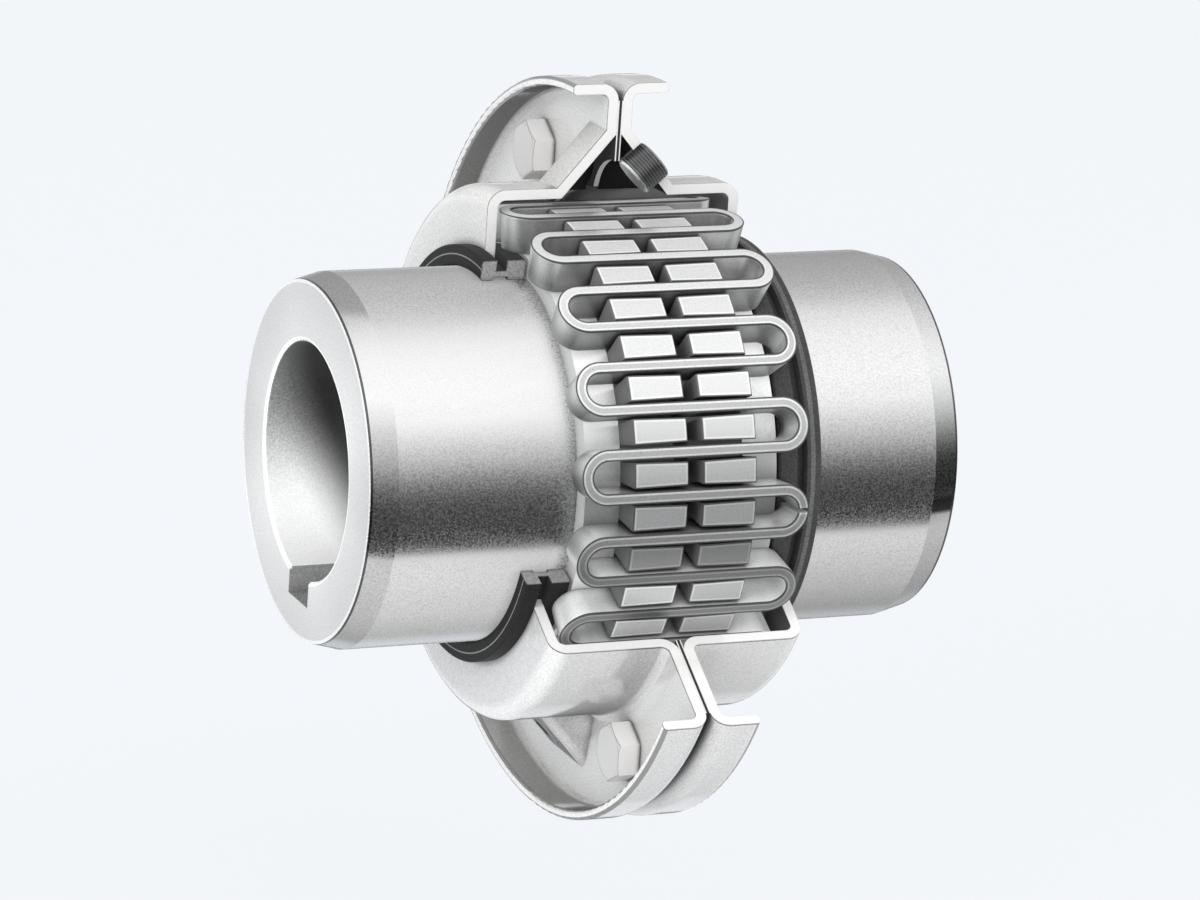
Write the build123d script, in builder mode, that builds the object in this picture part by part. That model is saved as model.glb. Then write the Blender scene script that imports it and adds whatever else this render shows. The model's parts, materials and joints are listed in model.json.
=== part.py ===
from build123d import *
import os
from math import cos, radians, sin, tan

os.makedirs("parts", exist_ok=True)

# Frame: the shaft axis is X, through the origin, with Z up and the middle of the gap at X = 0.
# The near side, where the covers are cut open, is -Y.
# Turn angles are in degrees about the shaft, from straight up towards the far side, +Y.

# Clearances
touch = 0.05  # sliding and screwed fits, per side
grid_play = 0.4  # spring strip to the floor below it
slot_play = 0.65  # spring strip to a slot's walls, at the slot's narrow end
bend_room = 0.9  # hairpin bends to the cover's end wall
cover_room = 2.4  # spring strip to the inside of the cover's drum
seal_gap = 0.7  # hub flange to seal
drum_room = 3.75  # bolt head to the cover's drum
rim_room = 5.55  # bolt head to the cover's rim
cut_over = 2.0  # how far a cutter runs past what it cuts

# Hub barrels and bores
hub_gap = 3.6
hub_half = 73.1
bore_r = 27.78
bore_chamfer = 0.6
key_width = 12.7
key_depth = 5.62
barrel_r = 43.65
taper_length = 6.3
taper_drop = 1.6
flange_height = 4.95
shoulder_length = 8.6  # from the teeth to the flange's end

gap_half = hub_gap / 2
key_floor = bore_r + key_depth
end_face_r = barrel_r - taper_drop
shoulder_r = barrel_r + flange_height

# Grid spring
strip_height = 8.8
strip_inner_width = 2.2
strip_outer_width = 2.7
strip_proud = 0.8  # above the teeth
strip_run = 6.7  # straight, from a tooth to the hairpin bend
split_width = 1.1
split_angle = -90

strip_inner_r = shoulder_r + grid_play
strip_outer_r = strip_inner_r + strip_height

# Teeth of each hub
tooth_count = 36
tooth_length = 13.3
tooth_edge = 0.45
slot_undercut = 0.4
slot_flare = 0.6

tooth_pitch = 360 / tooth_count
half_pitch = tooth_pitch / 2
tooth_end = gap_half + tooth_length
tooth_tip_r = strip_outer_r - strip_proud
slot_floor_r = shoulder_r - slot_undercut
slot_outer_width = strip_outer_width + 2 * slot_play
slot_gap_width = slot_outer_width + slot_flare
flange_half = tooth_end + shoulder_length
loop_start = tooth_end + strip_run
bend_outer_r = strip_outer_r * sin(radians(half_pitch)) + strip_outer_width / 2

# Bolts, lock washers and nuts
bolt_r = 3.97
bolt_play = 0.33  # in the covers' holes
bolt_length = 16.5
bolt_end_chamfer = 0.8
hex_flats = 12.7
head_height = 5.4
nut_height = 6.7
crown_depth = 1.0
crown_inset = 0.2
washer_r = 6.9
washer_thickness = 1.5
washer_split = 1.2
washer_split_angle = 20.0

hex_corner_r = hex_flats / 2 / cos(radians(30))
bolt_hole_r = bolt_r + bolt_play
nut_hole_r = bolt_r + touch

# Cover halves, pressed from sheet
sheet = 2.4
bend_r = 3.0
rim_half = 11.9
rim_edge = 0.8
gasket_thickness = 1.2
cut_arc = 120.5  # the sector cut away, from straight up towards the near side

kept_arc = 360 - cut_arc
joint_face = gasket_thickness / 2
web_mid = joint_face + sheet / 2
web_half = joint_face + sheet
shell_inner_r = strip_outer_r + cover_room
shell_mid_r = shell_inner_r + sheet / 2
shell_r = shell_inner_r + sheet
end_wall_half = loop_start + bend_outer_r + bend_room + sheet
end_wall_mid = end_wall_half - sheet / 2
bolt_circle_r = shell_r + drum_room + hex_flats / 2
cover_r = bolt_circle_r + hex_flats / 2 + rim_room + sheet
rim_mid_r = cover_r - sheet / 2

# Grease bosses, one up and one down on each cover half
boss_rise = 15.8  # from the inside of the drum to where the slope meets the web
boss_slope = 49.5
boss_draft = 19.0
boss_half_width = 11.5
boss_edge = 3.0
boss_run = 30.0
boss_depth = 20.0
boss_sink = 3.0  # how far the boss walls run on past the inside of the drum

boss_web_r = shell_inner_r + boss_rise
boss_foot = shell_inner_r - boss_sink
slope_x = cos(radians(boss_slope))
slope_z = sin(radians(boss_slope))

# Grease plugs
plug_r = 5.1
plug_length = 7.0
plug_proud = 0.5
plug_edge = 0.6
plug_socket = 4.8
plug_socket_depth = 3.4
plug_along = 9.4  # from the web down the sloping face

plug_hole_r = plug_r + touch
plug_x = web_half + plug_along * slope_x
plug_z = boss_web_r - plug_along * slope_z

# Seals
seal_outside = 3.7  # past the cover's end wall
seal_groove_depth = 2.6
seal_relief_width = 3.6
seal_relief_depth = 0.8
seal_edge = 0.4
seal_overhang_angle = 9.0  # the cut seal runs past the cover's cut, at both ends

seal_inner_r = barrel_r + touch
seal_outer_r = shoulder_r
seal_half_inner = flange_half + seal_gap
seal_half_outer = end_wall_half + seal_outside
seal_groove_floor = seal_outer_r - seal_groove_depth
seal_groove_width = sheet + 2 * touch
seal_middle = (seal_half_inner + seal_half_outer) / 2
lip_r = seal_groove_floor + touch

# Gasket
gasket_lap = 0.8  # its inner edge, outward from the inside of the drum
gasket_margin = 6.0  # its outer edge, past the bolt holes
gasket_arch_r = 11.7
gasket_arch_drop = 7.3  # top of the arch, below the boss

gasket_inner_r = shell_inner_r + gasket_lap
gasket_outer_r = bolt_circle_r + bolt_hole_r + gasket_margin
gasket_arch_z = boss_web_r - gasket_arch_drop - gasket_arch_r

# The fasteners that the cut leaves, of six, by their turn angles
fastener_turns = {"top": 30, "rear": 90, "bottom": 150, "front": 210}


def turned(angle):
    """The direction that lies at a turn angle, square to the shaft."""
    return (0, sin(radians(angle)), cos(radians(angle)))


def shaft_plane(angle):
    """The half plane through the shaft at a turn angle, x along the shaft, y outward."""
    return Plane(origin=(0, 0, 0), x_dir=(1, 0, 0), z_dir=turned(angle - 90))


# Left hub: turned body, keyed bore and a ring of milled teeth
slot_planes = [
    Plane(origin=(0, 0, 0), x_dir=(1, 0, 0), z_dir=turned((k + 0.5) * tooth_pitch))
    for k in range(tooth_count)
]

with BuildPart() as hub_left:
    with BuildSketch(Plane.XZ) as hub_section:
        with BuildLine():
            Polyline(
                (-gap_half, bore_r + bore_chamfer),
                (-gap_half, tooth_tip_r - tooth_edge),
                (-gap_half - tooth_edge, tooth_tip_r),
                (-tooth_end + tooth_edge, tooth_tip_r),
                (-tooth_end, tooth_tip_r - tooth_edge),
                (-tooth_end, shoulder_r),
                (-flange_half, shoulder_r),
                (-flange_half, barrel_r),
                (-hub_half + taper_length, barrel_r),
                (-hub_half, end_face_r),
                (-hub_half, bore_r + bore_chamfer),
                (-hub_half + bore_chamfer, bore_r),
                (-gap_half - bore_chamfer, bore_r),
                close=True,
            )
        make_face()
    revolve(axis=Axis.X)
    with BuildSketch(Plane.YZ.offset(-hub_half)) as keyway:
        Rectangle(key_width, key_floor, align=(Align.CENTER, Align.MAX))
    extrude(amount=hub_half, mode=Mode.SUBTRACT)
    with BuildSketch(*[plane.offset(slot_floor_r) for plane in slot_planes]) as slots:
        with BuildLine():
            Polyline(
                (0, slot_gap_width / 2),
                (-tooth_end, slot_outer_width / 2),
                (-tooth_end, -slot_outer_width / 2),
                (0, -slot_gap_width / 2),
                close=True,
            )
        make_face()
    extrude(amount=tooth_tip_r - slot_floor_r + cut_over, mode=Mode.SUBTRACT)

hub_left.part.label = "hub_left"
export_step(hub_left.part, "parts/hub_left.step")

# Right hub: the same hub, turned end for end
with BuildPart() as hub_right:
    mirror(hub_left.part, about=Plane.YZ)

hub_right.part.label = "hub_right"
export_step(hub_right.part, "parts/hub_right.step")


# Grid spring: straight rungs in the slots, joined by hairpin bends left and right in turn
def rung_plane(angle, x):
    """A plane square to the shaft, with its own y axis along the rung's radius."""
    return Plane(origin=(x, 0, 0), x_dir=turned(angle + 90), z_dir=(1, 0, 0))


strip_corners = [
    (-strip_inner_width / 2, strip_inner_r),
    (-strip_outer_width / 2, strip_outer_r),
    (strip_outer_width / 2, strip_outer_r),
    (strip_inner_width / 2, strip_inner_r),
]

with BuildPart() as bend_left:
    with BuildSketch(rung_plane(-half_pitch, -loop_start)):
        with BuildLine():
            Polyline(*strip_corners, close=True)
        make_face()
    revolve(axis=Axis((-loop_start, 0, 0), (0, 0, -1)), revolution_arc=180)

with BuildPart() as bend_right:
    with BuildSketch(rung_plane(half_pitch, loop_start)):
        with BuildLine():
            Polyline(*strip_corners, close=True)
        make_face()
    revolve(axis=Axis((loop_start, 0, 0), turned(tooth_pitch)), revolution_arc=180)

bend_turns = [
    Location((0, 0, 0), (-2 * tooth_pitch * k, 0, 0)) for k in range(tooth_count // 2)
]
rung_planes = [
    rung_plane((k + 0.5) * tooth_pitch, -loop_start) for k in range(tooth_count)
]

with BuildPart() as grid:
    with BuildSketch(*rung_planes):
        with BuildLine():
            Polyline(*strip_corners, close=True)
        make_face()
    extrude(amount=2 * loop_start)
    with Locations(*bend_turns):
        add(bend_left.part)
        add(bend_right.part)
    with Locations(Plane(origin=(loop_start, 0, 0), x_dir=(1, 0, 0), z_dir=turned(split_angle))):
        Box(
            bend_outer_r + cut_over,
            split_width,
            strip_outer_r + cut_over,
            align=(Align.MIN, Align.CENTER, Align.MIN),
            mode=Mode.SUBTRACT,
        )

grid.part.label = "grid"
export_step(grid.part, "parts/grid.step")


# Grease boss of the left cover half, up: a drafted wedge on the slope from web to drum
def boss_wedge(skin, joint_x, foot):
    """The wedge with its faces set in by a skin, trimmed at the joint and inside the drum."""
    draft = radians(boss_draft)
    top_half = boss_half_width - skin / cos(draft) + skin * tan(draft)
    foot_half = top_half + (boss_depth - skin) * tan(draft)
    slope = Plane(
        origin=(-web_half, 0, boss_web_r), x_dir=(0, 1, 0), z_dir=(-slope_x, 0, -slope_z)
    )
    with BuildPart() as wedge:
        with BuildSketch(slope) as profile:
            with BuildLine():
                Polyline(
                    (-top_half, skin),
                    (top_half, skin),
                    (foot_half, boss_depth),
                    (-foot_half, boss_depth),
                    close=True,
                )
            make_face()
            fillet(profile.vertices().group_by(Axis.Y)[0], radius=boss_edge - skin)
        extrude(amount=boss_run, both=True)
        split(bisect_by=Plane.YZ.offset(-joint_x), keep=Keep.BOTTOM)
        split(bisect_by=Plane.XY.offset(foot), keep=Keep.TOP)
    return wedge.part


boss_outside = boss_wedge(0, web_mid, boss_foot)
boss_hollow = boss_wedge(sheet, 0, boss_foot - sheet)
boss_up_far_half = split(boss_outside, bisect_by=Plane.XZ, keep=Keep.BOTTOM)

# Where the bolts pass through webs and gasket, along Y and Z
bolt_places = [
    (bolt_circle_r * sin(radians(angle)), bolt_circle_r * cos(radians(angle)))
    for angle in fastener_turns.values()
]

# Cover half, left: one pressed sheet with rim, web, drum, end wall and two grease bosses
with BuildPart() as cover_pressing:
    with BuildSketch(Plane.XZ) as sheet_section:
        with BuildLine():
            FilletPolyline(
                (-rim_half, rim_mid_r),
                (-web_mid, rim_mid_r),
                (-web_mid, shell_mid_r),
                (-end_wall_mid, shell_mid_r),
                (-end_wall_mid, lip_r),
                radius=bend_r,
            )
        trace(line_width=sheet)
    revolve(axis=Axis((0, 0, 0), (-1, 0, 0)), revolution_arc=kept_arc)
    rim_tips = cover_pressing.edges().filter_by_position(
        Axis.X, -rim_half - touch, -rim_half + touch
    )
    fillet(rim_tips.filter_by(GeomType.CIRCLE), radius=rim_edge)
    add(boss_up_far_half)
    mirror(boss_outside, about=Plane.XY)
    add(boss_hollow, mode=Mode.SUBTRACT)
    mirror(boss_hollow, about=Plane.XY, mode=Mode.SUBTRACT)
    with BuildSketch(Plane.YZ):
        Circle(shell_inner_r)
    extrude(amount=bend_r + sheet - end_wall_half, mode=Mode.SUBTRACT)
    with BuildSketch(Plane.YZ) as bolt_holes:
        with Locations(*bolt_places):
            Circle(bolt_hole_r)
    extrude(amount=-web_half - touch, mode=Mode.SUBTRACT)

upper_seat = Plane(
    origin=(plug_x, 0, plug_z), x_dir=(0, 1, 0), z_dir=(slope_z, 0, slope_x)
)
lower_seat = Plane(
    origin=(-plug_x, 0, -plug_z), x_dir=(0, 1, 0), z_dir=(-slope_z, 0, -slope_x)
)

with BuildPart() as cover_left:
    add(cover_pressing.part)
    with BuildSketch(lower_seat):
        Circle(plug_hole_r)
    extrude(amount=plug_length, both=True, mode=Mode.SUBTRACT)

cover_left.part.label = "cover_left"
export_step(cover_left.part, "parts/cover_left.step")

with BuildPart() as cover_right:
    mirror(cover_pressing.part, about=Plane.YZ)
    with BuildSketch(upper_seat):
        Circle(plug_hole_r)
    extrude(amount=plug_length, both=True, mode=Mode.SUBTRACT)

cover_right.part.label = "cover_right"
export_step(cover_right.part, "parts/cover_right.step")

# Gasket: flat ring between the webs, arched open at the two grease bosses
with BuildPart() as gasket:
    with BuildSketch(Plane.XZ) as gasket_section:
        with Locations((0, (gasket_inner_r + gasket_outer_r) / 2)):
            Rectangle(gasket_thickness, gasket_outer_r - gasket_inner_r)
    revolve(axis=Axis((0, 0, 0), (-1, 0, 0)), revolution_arc=kept_arc)
    with BuildSketch(Plane.YZ) as gasket_openings:
        with Locations((0, gasket_arch_z), (0, -gasket_arch_z)):
            Circle(gasket_arch_r)
        with Locations(*bolt_places):
            Circle(bolt_hole_r)
    extrude(amount=gasket_thickness, both=True, mode=Mode.SUBTRACT)

gasket.part.label = "gasket"
export_step(gasket.part, "parts/gasket.step")


# Seals: rubber rings on the hub barrels, with the cover's lip in their outer groove
def seal_profile(plane):
    """The section of the left seal, drawn on a half plane through the shaft."""
    with BuildSketch(plane) as section:
        with Locations((-seal_middle, (seal_inner_r + seal_outer_r) / 2)):
            Rectangle(seal_half_outer - seal_half_inner, seal_outer_r - seal_inner_r)
        chamfer(section.vertices(), length=seal_edge)
        with Locations((-end_wall_mid, (seal_groove_floor + seal_outer_r) / 2)):
            Rectangle(seal_groove_width, seal_outer_r - seal_groove_floor, mode=Mode.SUBTRACT)
        with Locations((-end_wall_mid, seal_inner_r)):
            Rectangle(seal_relief_width, 2 * seal_relief_depth, mode=Mode.SUBTRACT)
    return section.sketch


seal_arc = kept_arc + 2 * seal_overhang_angle

with BuildPart() as seal_left:
    add(seal_profile(shaft_plane(-seal_overhang_angle)))
    revolve(axis=Axis((0, 0, 0), (-1, 0, 0)), revolution_arc=seal_arc)

seal_left.part.label = "seal_left"
export_step(seal_left.part, "parts/seal_left.step")

# The right seal stays whole
with BuildPart() as seal_right:
    add(mirror(seal_profile(Plane.XZ), about=Plane.YZ))
    revolve(axis=Axis.X)

seal_right.part.label = "seal_right"
export_step(seal_right.part, "parts/seal_right.step")

# Grease plug: headless pipe plug with a hexagon socket, drawn with its outer end up
with BuildPart() as plug:
    Cylinder(plug_r, plug_length, align=(Align.CENTER, Align.CENTER, Align.MAX))
    chamfer(plug.edges().filter_by(GeomType.CIRCLE), length=plug_edge)
    with BuildSketch(Plane.XY):
        RegularPolygon(plug_socket / 2, 6, major_radius=False)
    extrude(amount=-plug_socket_depth, mode=Mode.SUBTRACT)

with BuildPart() as grease_plug_upper:
    with Locations(upper_seat.offset(plug_proud)):
        add(plug.part)

grease_plug_upper.part.label = "grease_plug_upper"
export_step(grease_plug_upper.part, "parts/grease_plug_upper.step")

with BuildPart() as grease_plug_lower:
    with Locations(lower_seat.offset(plug_proud)):
        add(plug.part)

grease_plug_lower.part.label = "grease_plug_lower"
export_step(grease_plug_lower.part, "parts/grease_plug_lower.step")

# Hexagon bolt, lock washer and nut on the shaft axis, with a corner up
with BuildPart() as bolt:
    with BuildSketch(Plane.YZ.offset(-web_half)):
        RegularPolygon(hex_corner_r, 6, rotation=30)
    extrude(amount=-head_height)
    with BuildSketch(Plane.XZ) as head_envelope:
        with BuildLine():
            Polyline(
                (-web_half, 0),
                (-web_half, hex_corner_r + touch),
                (-web_half - head_height + crown_depth, hex_corner_r + touch),
                (-web_half - head_height, hex_flats / 2 - crown_inset),
                (-web_half - head_height, 0),
                close=True,
            )
        make_face()
    revolve(axis=Axis.X, mode=Mode.INTERSECT)
    with BuildSketch(Plane.YZ.offset(-web_half)):
        Circle(bolt_r)
    extrude(amount=bolt_length)
    shank_end = bolt.edges().filter_by(GeomType.CIRCLE).sort_by(Axis.X)[-1]
    chamfer(shank_end, length=bolt_end_chamfer)

with BuildPart() as lock_washer:
    with BuildSketch(Plane.YZ.offset(web_half)):
        Circle(washer_r)
        Circle(nut_hole_r, mode=Mode.SUBTRACT)
        with Locations((0, (nut_hole_r + washer_r) / 2)):
            Rectangle(
                washer_split,
                washer_r - nut_hole_r + cut_over,
                rotation=washer_split_angle,
                mode=Mode.SUBTRACT,
            )
    extrude(amount=washer_thickness)

nut_seat = web_half + washer_thickness
with BuildPart() as nut:
    with BuildSketch(Plane.YZ.offset(nut_seat)):
        RegularPolygon(hex_corner_r, 6, rotation=30)
    extrude(amount=nut_height)
    with BuildSketch(Plane.XZ) as nut_envelope:
        with BuildLine():
            Polyline(
                (nut_seat, nut_hole_r),
                (nut_seat, hex_flats / 2 - crown_inset),
                (nut_seat + crown_depth, hex_corner_r + touch),
                (nut_seat + nut_height - crown_depth, hex_corner_r + touch),
                (nut_seat + nut_height, hex_flats / 2 - crown_inset),
                (nut_seat + nut_height, nut_hole_r),
                close=True,
            )
        make_face()
    revolve(axis=Axis.X, mode=Mode.INTERSECT)

# The fastener sets, named by where they stand
for place, angle in fastener_turns.items():
    centre = Location(Vector(*turned(angle)) * bolt_circle_r)
    for name, piece in {"bolt": bolt, "lock_washer": lock_washer, "nut": nut}.items():
        fastener = piece.part.moved(centre)
        fastener.label = f"{name}_{place}"
        export_step(fastener, f"parts/{name}_{place}.step")
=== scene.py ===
import json
import math

import bpy
from mathutils import Matrix, Vector


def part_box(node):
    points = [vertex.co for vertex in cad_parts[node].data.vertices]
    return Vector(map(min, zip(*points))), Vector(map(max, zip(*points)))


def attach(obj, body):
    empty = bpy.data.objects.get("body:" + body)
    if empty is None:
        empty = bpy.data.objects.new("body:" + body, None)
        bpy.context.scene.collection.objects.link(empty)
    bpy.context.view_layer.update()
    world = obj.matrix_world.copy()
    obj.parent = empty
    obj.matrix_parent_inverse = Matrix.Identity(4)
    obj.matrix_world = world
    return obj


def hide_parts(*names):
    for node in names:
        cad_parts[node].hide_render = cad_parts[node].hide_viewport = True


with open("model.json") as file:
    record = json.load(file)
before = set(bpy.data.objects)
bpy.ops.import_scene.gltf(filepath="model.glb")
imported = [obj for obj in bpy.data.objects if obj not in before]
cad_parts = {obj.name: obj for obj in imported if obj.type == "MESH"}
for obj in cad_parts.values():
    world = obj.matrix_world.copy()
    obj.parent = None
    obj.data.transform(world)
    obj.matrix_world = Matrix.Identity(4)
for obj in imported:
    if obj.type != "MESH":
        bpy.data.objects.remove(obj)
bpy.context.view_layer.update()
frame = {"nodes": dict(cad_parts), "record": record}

MM = 0.001
FASTENER_PLACES = ("top", "rear", "bottom", "front")

# Sizes read from the frame, in metres. The shaft lies along x, with the gap between the hubs at x = 0.
mounts = {mount["name"]: mount for mount in frame["record"]["mounts"]}
hub_low, hub_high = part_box("hub_left")
seal_low, seal_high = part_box("seal_left")
cover_low, cover_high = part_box("cover_left")
HUB_HALF = -hub_low.x
GAP_HALF = -hub_high.x
TOOTH_TIP_R = hub_high.z
BORE_R = mounts["left_bore"]["dims"]["r_mm"] * MM
GRID_OUTER_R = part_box("grid")[1].z
SEAL_R = seal_high.z
SEAL_HALF_OUTER = -seal_low.x
COVER_R = cover_high.z
END_WALL_HALF = -cover_low.x

# Sizes of the same parts that no box gives. The hub's shoulder is as high as the seal beside it.
BARREL_R = 43.65 * MM
TAPER = 6.3 * MM
END_FACE_R = BARREL_R - 1.6 * MM
BORE_CHAMFER = 0.6 * MM
SHOULDER_R = SEAL_R
TOOTH_COUNT = 36
TOOTH_PITCH = 2 * math.pi / TOOTH_COUNT
TOOTH_END = 15.1 * MM
SLOT_OUTER_WIDTH = 4.0 * MM
SLOT_GAP_WIDTH = 4.6 * MM
STRIP_WIDTH = 2.7 * MM
LOOP_START = 21.8 * MM
SHEET = 2.4 * MM
WEB_HALF = 3.0 * MM
SHELL_R = GRID_OUTER_R + 4.8 * MM
RIM_HALF = 11.9 * MM
BOSS_WEB_R = 76.0 * MM
BOSS_SLOPE = math.radians(49.5)
BOSS_DRAFT = math.radians(19.0)
BOSS_HALF_WIDTH = 11.5 * MM
PLUG_ALONG = 9.4 * MM
PLUG_X = WEB_HALF + PLUG_ALONG * math.cos(BOSS_SLOPE)
PLUG_Z = BOSS_WEB_R - PLUG_ALONG * math.sin(BOSS_SLOPE)
PLUG_R = 5.1 * MM
PLUG_LENGTH = 7.0 * MM
PLUG_PROUD = 0.5 * MM
PLUG_EDGE = 0.6 * MM
COVER_CUT_ANGLES = (0.0, 239.5)
SEAL_CUT_ANGLES = (-9.0, 248.5)

# Finish shared by several materials
STEEL_TINT = (0.992, 1.0, 0.995)
SHEET_TINT = (1.01, 1.0, 0.985)
COAT_ROUGHNESS = 0.12
COAT_IOR = 1.9
TURNED_BLUR_ROTATION = 0.25

# How fine each noise is, in cells per metre, and round the shaft in cells per radian
STIPPLE_SCALE = 2300.0
STRIP_GRAIN_SCALE = 2200.0
STRIP_DIMPLE_SCALE = 900.0
SHEET_DIMPLE_SCALE = 1500.0
SHEET_CLOUD_SCALE = 60.0
FIBRE_SCALE = 1800.0
FASTENER_GRAIN_SCALE = 2400.0
LATHE_SCALE_ALONG = 1400.0
LATHE_SCALE_OUTWARD = 300.0
LATHE_SCALE_ROUND = 1.5

# Nearly all values of a noise lie between these
NOISE_LOW = 0.32
NOISE_HIGH = 0.68

# A mask is 1 on the place that it marks and 0 elsewhere. It changes over a short width, and where it
# marks a face it ends a margin away from it.
MASK_EDGE = 0.1 * MM
SHARP_MASK_EDGE = 0.05 * MM
MARGIN = 0.1 * MM


class Shader:
    """One material's node tree, built a node at a time."""

    def __init__(self, name):
        self.material = bpy.data.materials.new(name)
        self.material.use_nodes = True
        self.tree = self.material.node_tree
        self.tree.nodes.clear()
        self.output = self.node("ShaderNodeOutputMaterial")
        coordinates = self.node("ShaderNodeTexCoord")
        self.place = coordinates.outputs["Object"]
        facing = self.node("ShaderNodeSeparateXYZ", Vector=coordinates.outputs["Normal"])
        self.facing_x, _, self.facing_z = facing.outputs
        split = self.node("ShaderNodeSeparateXYZ", Vector=self.place)
        self.x, self.y, self.z = split.outputs
        self.reach = self.absolute(self.x)
        self.r = self.length(self.y, self.z)
        self.turn = self.math("ARCTAN2", self.y, self.z)

    def node(self, kind, settings=None, **inputs):
        """A new node with its settings and its named inputs set or linked."""
        node = self.tree.nodes.new(kind)
        for name, value in (settings or {}).items():
            setattr(node, name, value)
        for name, value in inputs.items():
            self.feed(node.inputs[name.replace("_", " ")], value)
        return node

    def feed(self, socket, value):
        if isinstance(value, bpy.types.NodeSocket):
            self.tree.links.new(value, socket)
        else:
            socket.default_value = value

    def math(self, operation, *values):
        node = self.node("ShaderNodeMath", {"operation": operation})
        for socket, value in zip(node.inputs, values):
            self.feed(socket, value)
        return node.outputs[0]

    def add(self, a, b):
        return self.math("ADD", a, b)

    def subtract(self, a, b):
        return self.math("SUBTRACT", a, b)

    def multiply(self, a, b):
        return self.math("MULTIPLY", a, b)

    def maximum(self, a, b):
        return self.math("MAXIMUM", a, b)

    def minimum(self, a, b):
        return self.math("MINIMUM", a, b)

    def absolute(self, a):
        return self.math("ABSOLUTE", a)

    def below(self, a, b):
        """1 where a is less than b, otherwise 0."""
        return self.math("LESS_THAN", a, b)

    def above(self, a, b):
        """1 where a is more than b, otherwise 0."""
        return self.math("GREATER_THAN", a, b)

    def outside_of(self, mask):
        """1 where the mask is 0, and 0 where it is 1."""
        return self.subtract(1.0, mask)

    def sum_of(self, a, a_share, b, b_share):
        """Two values, each times its share, added up."""
        return self.add(self.multiply(a, a_share), self.multiply(b, b_share))

    def length(self, a, b):
        """The length of a two-way distance."""
        return self.math("SQRT", self.add(self.multiply(a, a), self.multiply(b, b)))

    def ramp(self, value, low, high, at_low, at_high):
        """A number that goes evenly from one value to another between two places, the same beyond."""
        node = self.node("ShaderNodeMapRange", Value=value)
        self.feed(node.inputs["From Min"], low)
        self.feed(node.inputs["From Max"], high)
        self.feed(node.inputs["To Min"], at_low)
        self.feed(node.inputs["To Max"], at_high)
        return node.outputs["Result"]

    def step(self, value, edge, width=MASK_EDGE):
        """0 below the edge and 1 above it, smooth over the width."""
        node = self.node("ShaderNodeMapRange", {"interpolation_type": "SMOOTHSTEP"}, Value=value)
        self.feed(node.inputs["From Min"], edge - width / 2)
        self.feed(node.inputs["From Max"], edge + width / 2)
        return node.outputs["Result"]

    def inside(self, value, low, high, width=MASK_EDGE):
        """1 between two edges and 0 outside them."""
        return self.subtract(self.step(value, low, width), self.step(value, high, width))

    def near_ring(self, reach, radius, size):
        """1 on a circle round the shaft, fading out over the size."""
        off = self.length(self.subtract(self.reach, reach), self.subtract(self.r, radius))
        return self.outside_of(self.step(off, size * 0.6, size * 0.8))

    def mix(self, factor, a, b):
        """A number that goes from a to b."""
        node = self.node("ShaderNodeMix", {"data_type": "FLOAT"})
        for index, value in ((0, factor), (2, a), (3, b)):
            self.feed(node.inputs[index], value)
        return node.outputs[0]

    def scaled(self, value, factor, low, high):
        """A value times a number that goes from low to high."""
        return self.multiply(value, self.mix(factor, low, high))

    def paint(self, value, *layers):
        """Lays tones over a value one after the other, each where its mask is 1."""
        for mask, tone in layers:
            value = self.mix(mask, value, tone)
        return value

    def noise(self, scale, detail, vector=None):
        node = self.node("ShaderNodeTexNoise", Vector=vector or self.place, Scale=scale, Detail=detail)
        return node.outputs["Fac"]

    def stipple(self):
        """Fine grain that uses the whole range from 0 to 1."""
        return self.ramp(self.noise(STIPPLE_SCALE, detail=1.0), NOISE_LOW, NOISE_HIGH, 0.0, 1.0)

    def varied(self, middle, grain, spread):
        """A value that the grain moves up and down by half the spread."""
        return self.add(middle, self.multiply(self.subtract(grain, 0.5), spread))

    def grey(self, value, tint=(1.0, 1.0, 1.0)):
        """A colour of that brightness, with a slight tint."""
        node = self.node("ShaderNodeCombineColor")
        for socket, share in zip(node.inputs, tint):
            self.feed(socket, self.multiply(value, share))
        return node.outputs[0]

    def crevice(self, distance):
        """1 in the open and 0 in a narrow gap. The materials darken their colour by it, as painted shade in
        gaps and creases.
        """
        return self.node("ShaderNodeAmbientOcclusion", {"samples": 8}, Distance=distance).outputs["AO"]

    def rounded(self, radius):
        """The normal with the edges rounded."""
        return self.node("ShaderNodeBevel", {"samples": 4}, Radius=radius).outputs[0]

    def edge(self, radius):
        """1 along an edge, where the rounded normal leaves the true one."""
        flat = self.node("ShaderNodeNewGeometry").outputs["True Normal"]
        same = self.node("ShaderNodeVectorMath", {"operation": "DOT_PRODUCT"})
        self.feed(same.inputs[0], self.rounded(radius))
        self.feed(same.inputs[1], flat)
        return self.outside_of(self.step(same.outputs["Value"], 0.97, 0.04))

    def bump(self, height, strength, distance, normal=None):
        node = self.node("ShaderNodeBump", Height=height, Strength=strength, Distance=distance)
        if normal is not None:
            self.feed(node.inputs["Normal"], normal)
        return node.outputs[0]

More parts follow.
